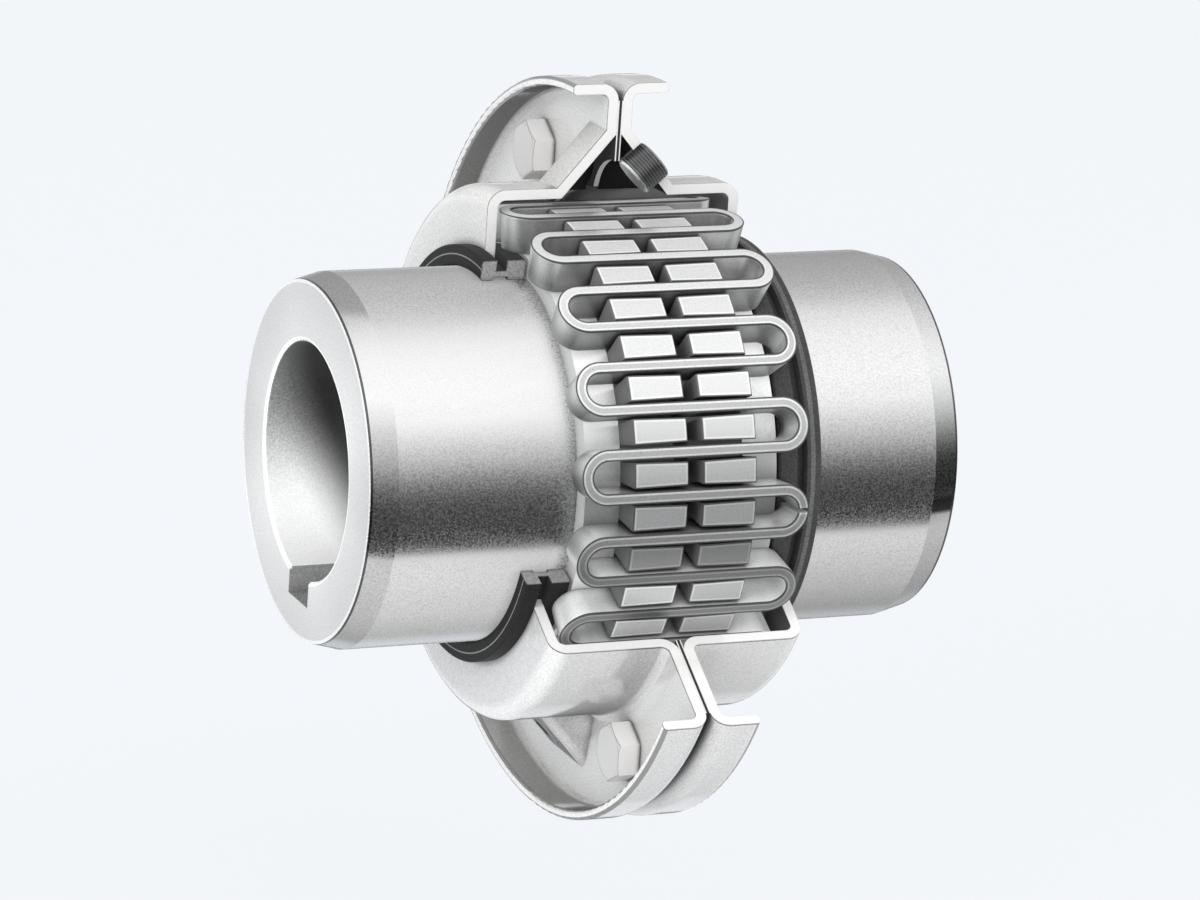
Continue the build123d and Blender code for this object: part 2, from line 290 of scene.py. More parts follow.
    def surface(self, colour, roughness, normal, metallic=0.0, anisotropic=0.0, specular=0.5, coat=None):
        """Ends the tree in a shader. Where anisotropic, it blurs along the shaft as turned steel does."""
        node = self.node("ShaderNodeBsdfPrincipled")
        if coat is not None:
            self.feed(node.inputs["Coat Weight"], coat)
            node.inputs["Coat Roughness"].default_value = COAT_ROUGHNESS
            node.inputs["Coat IOR"].default_value = COAT_IOR
        node.inputs["Specular IOR Level"].default_value = specular
        self.feed(node.inputs["Base Color"], colour)
        self.feed(node.inputs["Roughness"], roughness)
        self.feed(node.inputs["Metallic"], metallic)
        self.feed(node.inputs["Normal"], normal)
        if anisotropic:
            node.inputs["Anisotropic"].default_value = anisotropic
            node.inputs["Anisotropic Rotation"].default_value = TURNED_BLUR_ROTATION
            tangent = self.node("ShaderNodeTangent", {"direction_type": "RADIAL", "axis": "X"})
            self.tree.links.new(tangent.outputs[0], node.inputs["Tangent"])
        self.tree.links.new(node.outputs[0], self.output.inputs["Surface"])
        return self.material


def cut_face(s, angles, tolerance=0.12 * MM):
    """1 on the flat faces that a display cut leaves at these two turn angles."""
    near = []
    for angle in angles:
        sine = math.sin(math.radians(angle))
        cosine = math.cos(math.radians(angle))
        off = s.absolute(s.sum_of(s.y, cosine, s.z, -sine))
        outward = s.above(s.sum_of(s.y, sine, s.z, cosine), 0.0)
        near.append(s.multiply(s.below(off, tolerance), outward))
    return s.maximum(*near)


def arc_off(s, turn, pitch, radius):
    """How far round a circle a point is from the nearest multiple of an angle."""
    turns = s.add(s.math("DIVIDE", turn, pitch), 0.5)
    share = s.absolute(s.subtract(s.math("FRACT", turns), 0.5))
    return s.multiply(share, pitch * radius)


def to_tooth_edge(s):
    """How far a point on a tooth's top is from the top's nearest edge."""
    slope = (SLOT_GAP_WIDTH - SLOT_OUTER_WIDTH) / 2 / TOOTH_END
    half_width = (TOOTH_PITCH * TOOTH_TIP_R - SLOT_GAP_WIDTH) / 2
    half_here = s.add(half_width, s.multiply(s.reach, slope))
    to_flank = s.subtract(half_here, arc_off(s, s.turn, TOOTH_PITCH, TOOTH_TIP_R))
    to_end = s.minimum(s.subtract(TOOTH_END, s.reach), s.subtract(s.reach, GAP_HALF))
    return s.minimum(to_flank, to_end)


def to_strip_edge(s):
    """How far a point on the spring's outer face is from the strip's nearest edge."""
    on_right = s.above(s.x, 0.0)
    loop_turn = s.subtract(s.turn, s.multiply(on_right, TOOTH_PITCH))
    along = s.maximum(s.subtract(s.reach, LOOP_START), 0.0)
    bend_r = GRID_OUTER_R * math.sin(TOOTH_PITCH / 2)
    from_loop = s.length(along, arc_off(s, loop_turn, 2 * TOOTH_PITCH, GRID_OUTER_R))
    off_middle = s.absolute(s.subtract(from_loop, bend_r))
    return s.subtract(STRIP_WIDTH / 2, off_middle)


# Painted lines along the edges of the teeth and of the strip, a dark line and a painted highlight beside it,
# as distances from the edge
DARK_LINE_END = 0.32 * MM
HIGHLIGHT_LINE_START = 0.38 * MM
HIGHLIGHT_LINE_END = 0.78 * MM


def edge_lines(s, to_edge):
    """The dark rim and the painted highlight line beside it along a piece's edges."""
    dark = s.outside_of(s.step(to_edge, DARK_LINE_END, 0.14 * MM))
    bright = s.inside(to_edge, HIGHLIGHT_LINE_START, HIGHLIGHT_LINE_END, 0.15 * MM)
    return dark, bright


# Hubs. Heights are above the shaft line, where the drawing changes from light to dark.
BARREL_TONE = 0.62
# Painted highlight on the teeth's edges: how much lighter than the tone beneath, and its greatest value
HIGHLIGHT_GAIN = 1.35
HIGHLIGHT_LIMIT = 0.95
STIPPLE_MIDDLE = 0.987
BAND_START = -7 * MM
BORE_SHADE_MIDDLE = -4 * MM
BORE_SHADE_WIDTH = 28 * MM
BORE_SHADE_SLANT = 0.45
TOOTH_ROWS_IN_SHADE = ((-14.7 * MM, -5.0 * MM, 0.41), (-24.4 * MM, -14.9 * MM, 0.66))


class HubZones:
    """Masks for the hub's faces and edges and for the drawing's light and dark on them."""

    def __init__(self, s):
        self.end_face = s.step(s.reach, HUB_HALF - 0.05 * MM, 0.04 * MM)
        self.bore = s.below(s.r, BORE_R + MARGIN)
        past_bore = s.inside(s.r, BORE_R + MARGIN, BARREL_R - 4 * MM, SHARP_MASK_EDGE)
        self.keyway = s.multiply(past_bore, s.outside_of(self.end_face))
        self.bright_edge = s.maximum(self.bore_chamfer(s), self.end_face_edges(s))
        self.outside = s.step(s.r, BARREL_R - 2 * MM)
        self.taper = s.multiply(self.outside, s.step(s.reach, HUB_HALF - TAPER, SHARP_MASK_EDGE))
        taper_line = s.inside(s.reach, HUB_HALF - 0.60 * MM, HUB_HALF - 0.04 * MM, 0.03 * MM)
        self.taper_line = s.multiply(self.outside, taper_line)

        self.flange = s.step(s.r, BARREL_R + 2 * MARGIN)
        self.barrel = s.subtract(self.outside, self.flange)
        self.slots = s.multiply(self.flange, s.below(s.reach, TOOTH_END + 0.05 * MM))
        self.tooth_top = s.step(s.r, TOOTH_TIP_R - 0.5 * MM)
        shoulder = s.inside(s.r, SHOULDER_R - MARGIN, SHOULDER_R + MARGIN, SHARP_MASK_EDGE)
        self.shoulder = s.multiply(shoulder, s.subtract(self.flange, self.slots))

        self.right = s.above(s.x, 0.0)
        self.highlight = s.inside(s.z, 16 * MM, 38 * MM, 8 * MM)
        above_start = s.step(s.z, BAND_START, 2 * MM)
        self.dark_band = s.multiply(above_start, s.ramp(s.z, 6 * MM, 24 * MM, 1.0, 0.0))
        self.coarse_band = s.multiply(above_start, s.ramp(s.z, 3 * MM, 12 * MM, 1.0, 0.0))
        self.bore_shade = s.step(s.z, BORE_SHADE_MIDDLE, BORE_SHADE_WIDTH)

    def bore_chamfer(self, s):
        chamfer = s.inside(s.r, BORE_R + MARGIN, BORE_R + BORE_CHAMFER + MARGIN, 0.04 * MM)
        return s.multiply(chamfer, s.step(s.reach, HUB_HALF - BORE_CHAMFER))

    def end_face_edges(self, s):
        inner = s.multiply(self.end_face, s.below(s.r, BORE_R + BORE_CHAMFER + 0.4 * MM))
        outer = s.multiply(self.end_face, s.step(s.r, END_FACE_R - 0.8 * MM, 0.3 * MM))
        return s.maximum(inner, outer)


def taper_tone(s, on):
    """The taper's tone, with painted shade below its highlight and at the left one's top, and a dark band of
    painted shade on the right one.
    """
    tone = s.ramp(s.z, 0.42 * BARREL_R, 0.56 * BARREL_R, 0.50, BARREL_TONE)
    at_top = s.step(s.z, 0.90 * BARREL_R, 0.05 * BARREL_R)
    tone = s.mix(at_top, tone, s.mix(on.right, 0.40, BARREL_TONE))
    band = s.outside_of(s.step(s.z, 0.28 * BARREL_R, 0.36 * BARREL_R))
    band = s.multiply(band, s.step(s.z, -7.5 * MM, 1.5 * MM))
    band = s.multiply(band, on.right)
    return s.mix(band, tone, s.mix(s.step(s.z, -3.5 * MM, 2 * MM), 0.04, 0.14))


def tooth_tone(s):
    """The tops of the teeth, dimmer near the bottom, with two rows in shade."""
    tone = s.ramp(s.z, -48 * MM, -24 * MM, 0.50, 0.76)
    for low, high, shaded in TOOTH_ROWS_IN_SHADE:
        tone = s.mix(s.inside(s.z, low, high, 2 * MM), tone, shaded)
    return tone


def bore_tone(s, on):
    """The bore's painted shade, darker upward and inward along a slanting edge."""
    by_height = s.mix(on.bore_shade, 0.96, 0.39)
    slanted = s.add(s.subtract(HUB_HALF, s.reach), s.multiply(s.z, BORE_SHADE_SLANT))
    return s.scaled(by_height, s.step(slanted, 9.5 * MM, 17 * MM), 1.0, 0.07)


def drawn_shade(s, on, value):
    """Shade at the right hub's top and underside, a lighter left highlight and a darker band on both."""
    top_shade = s.mix(on.flange, s.ramp(s.z, 37 * MM, 43 * MM, 0.0, 0.2), 0.0)
    right_shade = s.add(s.ramp(s.z, -38 * MM, -4 * MM, 0.38, 0.0), top_shade)
    right_shade = s.multiply(right_shade, s.multiply(on.right, on.outside))
    value = s.multiply(value, s.outside_of(right_shade))
    lift = s.mix(s.multiply(on.highlight, s.outside_of(on.right)), 1.0, 1.045)
    lift = s.scaled(lift, on.dark_band, 1.0, s.mix(on.right, 0.96, 0.87))
    return s.scaled(value, on.barrel, 1.0, lift)


def hub_stipple(s, on, value, grain):
    """Stipple, heavy in the barrels' dark band and in the bore's dark part, and faint in the light."""
    barrel_spread = s.mix(on.highlight, s.mix(on.coarse_band, 0.19, 0.43), s.mix(on.right, 0.085, 0.15))
    spread = s.paint(
        0.115,
        (on.outside, barrel_spread),
        (on.bore, s.mix(on.bore_shade, 0.06, 0.28)),
        (on.flange, 0.07),
    )
    lowest = s.subtract(STIPPLE_MIDDLE, spread)
    highest = s.add(STIPPLE_MIDDLE, spread)
    return s.scaled(value, grain, lowest, highest)


def hub_metallic(s, on):
    """How metallic each zone of the hub is."""
    return s.paint(
        1.0,
        (on.flange, 0.3),
        (on.shoulder, 0.8),
        (on.tooth_top, s.ramp(s.z, 15 * MM, 40 * MM, 0.7, 0.3)),
        (s.maximum(on.bore, on.keyway), 0.1),
        (on.end_face, 0.35),
    )


def lathe_marks(s):
    """Fine rings round the shaft."""
    place = s.node(
        "ShaderNodeCombineXYZ",
        X=s.multiply(s.x, LATHE_SCALE_ALONG),
        Y=s.multiply(s.r, LATHE_SCALE_OUTWARD),
        Z=s.multiply(s.turn, LATHE_SCALE_ROUND),
    )
    return s.noise(scale=1.0, detail=3.0, vector=place.outputs[0])


def hub_material():
    s = Shader("turned_hub_steel")
    on = HubZones(s)
    dark_edge, highlight_edge = edge_lines(s, to_tooth_edge(s))
    value = s.paint(
        BARREL_TONE,
        (on.taper, taper_tone(s, on)),
        (on.flange, 0.70),
        (on.slots, 0.18),
        (on.shoulder, 0.95),
        (on.tooth_top, tooth_tone(s)),
    )
    # Painted highlight on the teeth's edges, lighter than the tone beneath
    highlight_tone = s.minimum(s.multiply(value, HIGHLIGHT_GAIN), HIGHLIGHT_LIMIT)
    # Over the tones: a painted highlight on the teeth's edges, the bore's painted shade, a painted highlight
    # on the bore's chamfer and the end face's edges, and dark lines
    value = s.paint(
        value,
        (s.multiply(highlight_edge, on.tooth_top), highlight_tone),
        (on.bore, bore_tone(s, on)),
        (on.keyway, 0.33),
        (on.end_face, 0.71),
        (on.bright_edge, 0.97),
        (s.multiply(dark_edge, on.tooth_top), 0.15),
        (on.taper_line, 0.10),
    )
    grain = s.stipple()
    value = drawn_shade(s, on, value)
    value = hub_stipple(s, on, value, grain)
    # Painted shade in gaps, except on the bore and the teeth's tops
    in_gaps = s.mix(s.crevice(3.0 * MM), 0.50, 1.0)
    value = s.scaled(value, s.maximum(on.bore, on.tooth_top), in_gaps, 1.0)
    rough = s.maximum(on.flange, s.maximum(on.bore, on.end_face))
    roughness = s.varied(s.mix(rough, 0.24, 0.42), grain, spread=0.18)
    normal = s.bump(lathe_marks(s), strength=0.20, distance=0.02 * MM, normal=s.rounded(0.25 * MM))
    colour = s.grey(value, STEEL_TINT)
    return s.surface(colour, roughness, normal, metallic=hub_metallic(s, on), anisotropic=1.0)


def grid_material():
    s = Shader("spring_strip_steel")
    outer = s.step(s.r, GRID_OUTER_R - 0.35 * MM)
    # Painted light and shade: on the flanks lighter low down and darker towards the shaft above that, on the
    # outer face darker low down and lighter near the top, and darker in narrow gaps
    low = s.ramp(s.z, -13 * MM, -3 * MM, 1.0, 0.0)
    dark_edge, highlight_edge = edge_lines(s, to_strip_edge(s))
    grain = s.noise(STRIP_GRAIN_SCALE, detail=1.0)
    inward_fade = s.ramp(s.r, GRID_OUTER_R - 7 * MM, GRID_OUTER_R - 2 * MM, 0.34, 0.66)
    upper_tone = s.ramp(s.z, 38 * MM, 50 * MM, 0.46, 0.72)
    value = s.paint(
        s.mix(low, inward_fade, 0.90),
        (outer, s.mix(low, upper_tone, 0.19)),
        # Painted highlight along the strip's edges
        (s.multiply(highlight_edge, outer), s.mix(low, 0.74, 0.32)),
        (s.multiply(dark_edge, outer), 0.10),
    )
    value = s.scaled(value, grain, 0.84, 1.16)
    value = s.scaled(value, s.crevice(3.0 * MM), 0.20, 1.0)
    metallic = s.mix(outer, s.mix(low, 0.8, 0.3), 0.6)
    roughness = s.varied(0.30, grain, spread=0.10)
    dimples = s.noise(STRIP_DIMPLE_SCALE, detail=2.0)
    normal = s.bump(dimples, strength=0.10, distance=0.05 * MM, normal=s.rounded(1.1 * MM))
    return s.surface(s.grey(value, STEEL_TINT), roughness, normal, metallic=metallic)


def past_boss_slope(s, reach, height):
    """How far out a point is from a plane along the grease boss's slope, on either boss."""
    height_off = s.subtract(s.absolute(s.z), height)
    return s.sum_of(s.subtract(s.reach, reach), math.sin(BOSS_SLOPE), height_off, math.cos(BOSS_SLOPE))


def inside_boss(s):
    """1 on the faces inside the grease bosses."""
    depth = s.multiply(past_boss_slope(s, WEB_HALF, BOSS_WEB_R), -1.0)
    wall = s.add(BOSS_HALF_WIDTH - SHEET / 2, s.multiply(depth, math.tan(BOSS_DRAFT)))
    between = s.below(s.absolute(s.y), wall)
    return s.multiply(between, s.above(depth, SHEET - MARGIN))


def boss_slope_face(s):
    """1 on the sloped outer faces of the grease bosses."""
    lean = math.sin(BOSS_SLOPE)
    face = s.inside(s.absolute(s.facing_x), lean - 0.1, lean + 0.1, 0.08)
    beside_axis = s.below(s.absolute(s.y), BOSS_HALF_WIDTH + SHEET)
    outside_drum = s.above(s.absolute(s.z), SHELL_R)
    return s.multiply(face, s.multiply(beside_axis, outside_drum))


def cover_lining(s):
    """1 on the inside of the drum and between its end walls."""
    within_walls = s.below(s.reach, END_WALL_HALF - SHEET / 2)
    return s.multiply(within_walls, s.below(s.r, SHELL_R - SHEET / 2))


def sheet_bends(s):
    """1 along the cover's round bends: drum to end wall, rim edge, and web to drum."""
    bends = (
        (END_WALL_HALF - 1.2 * MM, SHELL_R - 1.2 * MM, 4.0 * MM),
        (RIM_HALF, COVER_R - SHEET / 2, 2.2 * MM),
        (2 * SHEET, SHELL_R + SHEET, 4.5 * MM),
    )
    bend = 0.0
    for reach, radius, size in bends:
        bend = s.maximum(bend, s.near_ring(reach, radius, size))
    return bend


def rim_underside(s):
    """1 on the rim's inner face."""
    near_face = s.inside(s.r, COVER_R - SHEET - 2 * MARGIN, COVER_R - SHEET + 2 * MARGIN)
    return s.multiply(near_face, s.step(s.reach, WEB_HALF + SHEET, 0.5 * MM))


def rim_edge_lines(s):
    """1 on two lines along the rim's edge. The outer one is wider on the far side."""
    outer_r = s.add(s.r, s.ramp(s.y, 0.3 * COVER_R, 0.9 * COVER_R, 0.76 * MM, 1.10 * MM))
    past_inner_line = s.step(s.r, COVER_R - SHEET + 0.40 * MM)
    between = s.subtract(past_inner_line, s.step(outer_r, COVER_R))
    lines = s.subtract(s.step(s.r, COVER_R - SHEET - MARGIN), between)
    return s.multiply(lines, s.step(s.reach, RIM_HALF - 0.9 * MM, 0.2 * MM))


def cover_material():
    s = Shader("pressed_cover_sheet")
    cut = cut_face(s, COVER_CUT_ANGLES)
    beside_cut = s.subtract(cut_face(s, COVER_CUT_ANGLES, 0.55 * MM), cut)
    cavity = inside_boss(s)
    # Painted light and shade: darker towards the bottom, a painted highlight along the round bends, painted
    # shade under the rim growing towards the top, on faces turned up, and across the bosses' slopes away
    # from their middle
    value = s.ramp(s.z, -0.7 * COVER_R, 0.2 * COVER_R, 0.70, 0.77)
    value = s.scaled(value, s.noise(SHEET_CLOUD_SCALE, detail=3.0), 0.95, 1.05)
    value = s.paint(
        value,
        (sheet_bends(s), 0.90),
        (rim_underside(s), s.ramp(s.z, -0.95 * COVER_R, 0.3 * COVER_R, 0.70, 0.31)),
    )
    value = s.multiply(value, s.ramp(s.facing_z, 0.6, 1.0, 1.0, 0.82))
    boss_fade = s.ramp(s.absolute(s.y), 0.0, BOSS_HALF_WIDTH, 1.0, 0.80)
    value = s.scaled(value, boss_slope_face(s), 1.0, boss_fade)
    value = s.scaled(value, s.stipple(), 0.84, 1.14)
    # Painted shade in creases and narrow gaps
    open_share = s.crevice(14.0 * MM)
    value = s.scaled(value, open_share, 0.52, 1.0)
    value = s.scaled(value, s.step(s.crevice(3.0 * MM), 0.66, 0.36), 0.25, 1.0)
    value = s.paint(
        value,
        (rim_edge_lines(s), 0.22),
        (beside_cut, 0.16),
        (cover_lining(s), 0.09),
        (cavity, 0.02),
        (cut, 0.97),
    )
    roughness = s.mix(cavity, 0.45, 0.9)
    coat = s.multiply(s.outside_of(cavity), s.step(open_share, 0.5, 0.6))
    by_cut = cut_face(s, COVER_CUT_ANGLES, 2.6 * MM)
    rounded = s.rounded(s.mix(by_cut, 1.0 * MM, 0.3 * MM))
    dimples = s.noise(SHEET_DIMPLE_SCALE, detail=2.0)
    normal = s.bump(dimples, strength=0.06, distance=0.05 * MM, normal=rounded)
    return s.surface(s.grey(value, SHEET_TINT), roughness, normal, specular=0.2, coat=coat)


def seal_material():
    """Rubber with a line on its end, nearly black on the left. The right one is grey with a line on top."""
    s = Shader("seal_rubber")
    whole = s.above(s.x, 0.0)
    cut = s.multiply(cut_face(s, SEAL_CUT_ANGLES), s.outside_of(whole))
    grain = s.stipple()
    top = s.multiply(whole, s.step(s.r, SEAL_R - 0.3 * MM))
    top_line = s.inside(s.reach, SEAL_HALF_OUTER - 2.7 * MM, SEAL_HALF_OUTER - 1.6 * MM)
    end = s.step(s.reach, SEAL_HALF_OUTER - MARGIN, SHARP_MASK_EDGE)
    end_line = s.inside(s.r, SEAL_R - 2.3 * MM, SEAL_R - 2.0 * MM)
    value = s.paint(
        s.mix(whole, 0.020, 0.070),
        (s.multiply(top, top_line), 0.16),
        (s.multiply(end, end_line), 0.30),
        (cut, 0.36),
        (s.multiply(cut, s.edge(0.35 * MM)), 0.03),
    )
    value = s.scaled(value, grain, 0.75, 1.25)
    # Painted shade in narrow gaps
    value = s.scaled(value, s.crevice(1.5 * MM), 0.3, 1.0)
    normal = s.bump(grain, strength=0.1, distance=0.04 * MM, normal=s.rounded(0.2 * MM))
    return s.surface(s.grey(value), roughness=0.55, normal=normal, specular=0.1)


def gasket_material():
    """Fibre sheet, dark, but pale on its inner edge and on its cut face beside the middle."""
    s = Shader("gasket_sheet")
    fibre = s.noise(FIBRE_SCALE, detail=3.0)
    bare_edge = s.below(s.absolute(s.facing_x), 0.5)
    bare_edge = s.multiply(bare_edge, s.below(s.r, BOSS_WEB_R))
    beside_middle = s.step(s.reach, 0.32 * MM)
    pale = s.mix(cut_face(s, COVER_CUT_ANGLES), bare_edge, beside_middle)
    value = s.scaled(s.mix(pale, 0.03, 0.85), fibre, 0.85, 1.15)
    normal = s.bump(fibre, strength=0.2, distance=0.05 * MM)
    return s.surface(s.grey(value), roughness=0.8, normal=normal, specular=0.2)


def plug_material():
    """Black steel, bright on the plug's inner end."""
    s = Shader("black_plug_steel")
    grain = s.noise(FASTENER_GRAIN_SCALE, detail=2.0)
    outward = past_boss_slope(s, PLUG_X, PLUG_Z)
    inner_end = s.below(outward, PLUG_PROUD - PLUG_LENGTH + PLUG_EDGE)
    value = s.scaled(s.mix(inner_end, 0.26, 0.90), grain, 0.7, 1.3)
    # Painted shade in narrow gaps, such as the thread's grooves
    value = s.scaled(value, s.crevice(0.5 * MM), 0.02, 1.0)
    roughness = s.varied(0.30, grain, spread=0.1)
    return s.surface(s.grey(value), roughness, normal=s.rounded(0.1 * MM), metallic=0.9)


def bolt_material():
    """Pale plated steel, darker on the faces across the axis, with a dark line along their edges."""
    s = Shader("plated_bolt_steel")
    grain = s.noise(FASTENER_GRAIN_SCALE, detail=2.0)
    end = s.above(s.absolute(s.facing_x), 0.7)
    value = s.scaled(s.mix(end, 1.0, 0.65), grain, 0.90, 1.05)
    value = s.mix(s.edge(0.8 * MM), value, s.mix(end, 1.0, 0.22))
    # Painted shade in narrow gaps, such as where the head meets the web
    value = s.scaled(value, s.step(s.crevice(2.0 * MM), 0.62, 0.4), 0.15, 1.0)
    roughness = s.varied(0.38, grain, spread=0.1)
    return s.surface(s.grey(value, SHEET_TINT), roughness, normal=s.rounded(0.3 * MM))


def dress(material, *nodes):
    """Gives CAD nodes their material."""
    for name in nodes:
        for slot in frame["nodes"][name].material_slots:
            slot.material = material


plug_steel = plug_material()
bolt_steel = bolt_material()

dress(hub_material(), "hub_left", "hub_right")
dress(grid_material(), "grid")
dress(cover_material(), "cover_left", "cover_right")
dress(seal_material(), "seal_left", "seal_right")
dress(gasket_material(), "gasket")
dress(plug_steel, "grease_plug_upper", "grease_plug_lower")
for kind in ("bolt", "lock_washer", "nut"):
    dress(bolt_steel, *[f"{kind}_{place}" for place in FASTENER_PLACES])


def mesh_object(name, vertices, faces, material):
    mesh = bpy.data.meshes.new(name)
    mesh.from_pydata(vertices, [], faces)
    mesh.materials.append(material)
    piece = bpy.data.objects.new(name, mesh)
    bpy.context.scene.collection.objects.link(piece)
    return piece


# Threaded pieces, which stand for the plain solids of the frame
RING_POINTS = 72
RINGS_PER_PITCH = 8


def hexagon_radius(flats, turn):
    """The distance from the middle to a hexagon's side, with a corner at turn 0."""
    off_flat = (turn + math.pi / 6) % (math.pi / 3) - math.pi / 6
    return flats / 2 / math.cos(math.pi / 6 - abs(off_flat))


def threaded_rings(radius, pitch, depth, start, end, edge):
    """Rings of (radius, depth along the axis) by turn, following one helix with its ends bevelled."""
    count = round((end - start) / pitch * RINGS_PER_PITCH)
    rings = []
    for k in range(count + 1):
        along = start + (end - start) * k / count
        to_end = min(along - start, end - along)
        ring = []
        for n in range(RING_POINTS):
            phase = (along / pitch + n / RING_POINTS) % 1.0
            groove = depth * (1 - abs(2 * phase - 1))
            ring.append((min(radius - groove, radius - edge + to_end), along))
        rings.append(ring)
    return rings


def flat_ring(radius_at, along):
    """A ring at one depth, its radius a function of the turn."""
    return [(radius_at(2 * math.pi * n / RING_POINTS), along) for n in range(RING_POINTS)]


def ring_solid(name, rings, place, material):
    """Closes a stack of rings into a solid. The place is its outer end's centre and two directions,
    to the side and inward."""
    centre, side, inward = place
    across = inward.cross(side)
    vertices = []
    for ring in rings:
        for n, (radius, along) in enumerate(ring):
            turn = 2 * math.pi * n / RING_POINTS
            round_axis = side * math.cos(turn) + across * math.sin(turn)
            vertices.append(centre + round_axis * radius + inward * along)
    faces = [tuple(range(RING_POINTS))]
    for k in range(len(rings) - 1):
        for n in range(RING_POINTS):
            a = k * RING_POINTS + n
            b = k * RING_POINTS + (n + 1) % RING_POINTS
            faces.append((a, a + RING_POINTS, b + RING_POINTS, b))
    last = (len(rings) - 1) * RING_POINTS
    faces.append(tuple(range(last + RING_POINTS - 1, last - 1, -1)))
    return mesh_object(name, vertices, faces, material)


# Grease plugs, headless, with a hexagon socket
PLUG_SOCKET = 4.8 * MM
PLUG_SOCKET_DEPTH = 3.4 * MM
PLUG_PITCH = 0.71 * MM
PLUG_THREAD_DEPTH = 0.38 * MM


def grease_plug(name, side):
    """A plug on the right upper slope for side 1 and on the left lower slope for side -1."""
    def socket_radius(turn):
        return hexagon_radius(PLUG_SOCKET, turn)

    rings = [flat_ring(socket_radius, PLUG_SOCKET_DEPTH), flat_ring(socket_radius, 0.0)]
    rings += threaded_rings(PLUG_R, PLUG_PITCH, PLUG_THREAD_DEPTH, 0.0, PLUG_LENGTH, PLUG_EDGE)
    outward = side * Vector((math.sin(BOSS_SLOPE), 0.0, math.cos(BOSS_SLOPE)))
    centre = side * Vector((PLUG_X, 0.0, PLUG_Z)) + outward * PLUG_PROUD
    place = (centre, Vector((0.0, 1.0, 0.0)), -outward)
    piece = ring_solid(name + "_threaded", rings, place, plug_steel)
    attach(piece, "cover")
    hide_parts(name)


grease_plug("grease_plug_upper", 1)
grease_plug("grease_plug_lower", -1)

# Bolts, with a crowned hexagon head on the left
BOLT_R = 3.97 * MM
BOLT_FLATS = 12.7 * MM
BOLT_HEAD = 5.4 * MM
BOLT_CROWN_DEPTH = 0.4 * MM
BOLT_CROWN_INSET = 0.2 * MM
BOLT_PITCH = 1.41 * MM
BOLT_THREAD_DEPTH = 0.6 * MM
BOLT_END_CHAMFER = 0.8 * MM


def threaded_bolt(place):
    low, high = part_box(f"bolt_{place}")
    centre = Vector((low.x, (low.y + high.y) / 2, (low.z + high.z) / 2))
    length = high.x - low.x
    crown_r = BOLT_FLATS / 2 - BOLT_CROWN_INSET
    corner_r = BOLT_FLATS / 2 / math.cos(math.pi / 6)
    slope = BOLT_CROWN_DEPTH / (corner_r - crown_r)
    crown = []
    for n in range(RING_POINTS):
        radius = hexagon_radius(BOLT_FLATS, 2 * math.pi * n / RING_POINTS)
        crown.append((radius, (radius - crown_r) * slope))
    rings = [
        flat_ring(lambda turn: crown_r, 0.0),
        crown,
        flat_ring(lambda turn: hexagon_radius(BOLT_FLATS, turn), BOLT_HEAD),
    ]
    rings += threaded_rings(BOLT_R, BOLT_PITCH, BOLT_THREAD_DEPTH, BOLT_HEAD, length, BOLT_END_CHAMFER)
    axes = (centre, Vector((0.0, 0.0, 1.0)), Vector((1.0, 0.0, 0.0)))
    piece = ring_solid(f"bolt_{place}_threaded", rings, axes, bolt_steel)
    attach(piece, "cover")
    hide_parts(f"bolt_{place}")


for place in FASTENER_PLACES:
    threaded_bolt(place)

# Floor and background
FLOOR_Z = -0.125
FLOOR_HALF = 30.0
FLOOR_ROUGHNESS = 0.9
PALE = (0.905, 0.928, 0.962)
FLOOR_GLOW = 0.92
WORLD_LIGHT = 0.60


def seen_directly(tree):
    """1 for camera, glossy and transmission rays and 0 for the light that falls on things."""
    path = tree.nodes.new("ShaderNodeLightPath")
    seen = path.outputs["Is Camera Ray"]
    for name in ("Is Glossy Ray", "Is Transmission Ray"):
        either = tree.nodes.new("ShaderNodeMath")
        either.operation = "MAXIMUM"
        tree.links.new(seen, either.inputs[0])
        tree.links.new(path.outputs[name], either.inputs[1])
        seen = either.outputs[0]
    return seen


def floor_material():
    """Pale matte floor. Seen directly it glows with its own colour, under a soft part of its shadow."""
    material = bpy.data.materials.new("pale_floor")
    material.use_nodes = True
    tree = material.node_tree
    shader = tree.nodes["Principled BSDF"]
    shader.inputs["Base Color"].default_value = (*PALE, 1)
    shader.inputs["Roughness"].default_value = FLOOR_ROUGHNESS
    glow = tree.nodes.new("ShaderNodeEmission")
    glow.inputs["Color"].default_value = (*PALE, 1)
    share = tree.nodes.new("ShaderNodeMath")
    share.operation = "MULTIPLY"
    share.inputs[1].default_value = FLOOR_GLOW
    tree.links.new(seen_directly(tree), share.inputs[0])
    mix = tree.nodes.new("ShaderNodeMixShader")
    tree.links.new(share.outputs[0], mix.inputs[0])
    tree.links.new(shader.outputs[0], mix.inputs[1])
    tree.links.new(glow.outputs[0], mix.inputs[2])
    tree.links.new(mix.outputs[0], tree.nodes["Material Output"].inputs["Surface"])
    return material


def studio_world():
    """Even light all round, and the plain pale background where it is seen."""
    world = bpy.data.worlds.new("studio")
    bpy.context.scene.world = world
    world.use_nodes = True
    tree = world.node_tree
    even = tree.nodes["Background"]
    even.inputs["Color"].default_value = (WORLD_LIGHT, WORLD_LIGHT, WORLD_LIGHT, 1)
    pale = tree.nodes.new("ShaderNodeBackground")
    pale.inputs["Color"].default_value = (*PALE, 1)
    mix = tree.nodes.new("ShaderNodeMixShader")
    tree.links.new(seen_directly(tree), mix.inputs[0])
    tree.links.new(even.outputs[0], mix.inputs[1])
    tree.links.new(pale.outputs[0], mix.inputs[2])
    tree.links.new(mix.outputs[0], tree.nodes["World Output"].inputs["Surface"])


